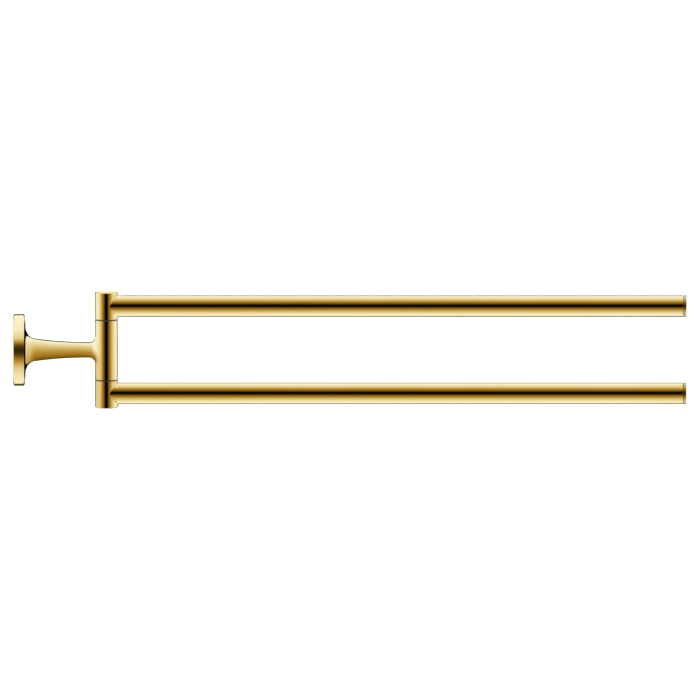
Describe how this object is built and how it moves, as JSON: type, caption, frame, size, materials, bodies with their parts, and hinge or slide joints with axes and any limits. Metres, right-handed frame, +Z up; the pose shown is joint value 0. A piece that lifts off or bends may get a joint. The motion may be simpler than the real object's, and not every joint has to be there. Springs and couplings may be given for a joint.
{
  "type": "two-arm towel holder",
  "caption": "Wall-mounted swivel towel holder: round rosette, flared stem, short column and long round arms that swing sideways, polished gold finish.",
  "frame": {"origin": "centre of the rosette's back face, on the wall", "axes": "+X out of the wall along the arms at rest, +Z up along the swivel axis"},
  "size_m": [0.454, 0.0486, 0.0784],
  "materials": {
    "gold_plating": "polished gold plating on brass",
    "zinc_plated_steel": "bright zinc plating",
    "stainless_steel": "turned",
    "spring_steel": "oiled",
    "dark_polymer": "matt",
    "white_polymer": "moulded"
  },
  "bodies": {
    "wall_bracket": {"rosette": "gold_plating", "wall_plate": "zinc_plated_steel", "rosette_grub_screw": "stainless_steel", "bracket": "gold_plating", "stem_washer": "zinc_plated_steel", "stem_screw": "zinc_plated_steel", "pivot_spindle": "stainless_steel", "upper_friction_washer": "dark_polymer", "lower_friction_washer": "dark_polymer", "upper_thrust_washer": "stainless_steel", "lower_thrust_washer": "stainless_steel", "upper_disc_spring": "spring_steel", "lower_disc_spring": "spring_steel", "upper_lock_nut": "zinc_plated_steel", "lower_lock_nut": "zinc_plated_steel"},
    "upper_arm": {"upper_sleeve": "gold_plating", "upper_bush": "white_polymer", "upper_sleeve_cap": "gold_plating", "upper_arm_insert": "gold_plating", "upper_arm_tube": "gold_plating", "upper_end_cap": "gold_plating"},
    "lower_arm": {"lower_sleeve": "gold_plating", "lower_bush": "white_polymer", "lower_sleeve_cap": "gold_plating", "lower_arm_insert": "gold_plating", "lower_arm_tube": "gold_plating", "lower_end_cap": "gold_plating"}
  },
  "joints": [
    {"name": "upper_arm_swivel", "type": "hinge", "parent": "wall_bracket", "child": "upper_arm", "pos_m": [0.0626, 0, 0], "axis": [0, 0, 1], "range_deg": [-90, 90]},
    {"name": "lower_arm_swivel", "type": "hinge", "parent": "wall_bracket", "child": "lower_arm", "pos_m": [0.0626, 0, 0], "axis": [0, 0, 1], "range_deg": [-90, 90]}
  ]
}
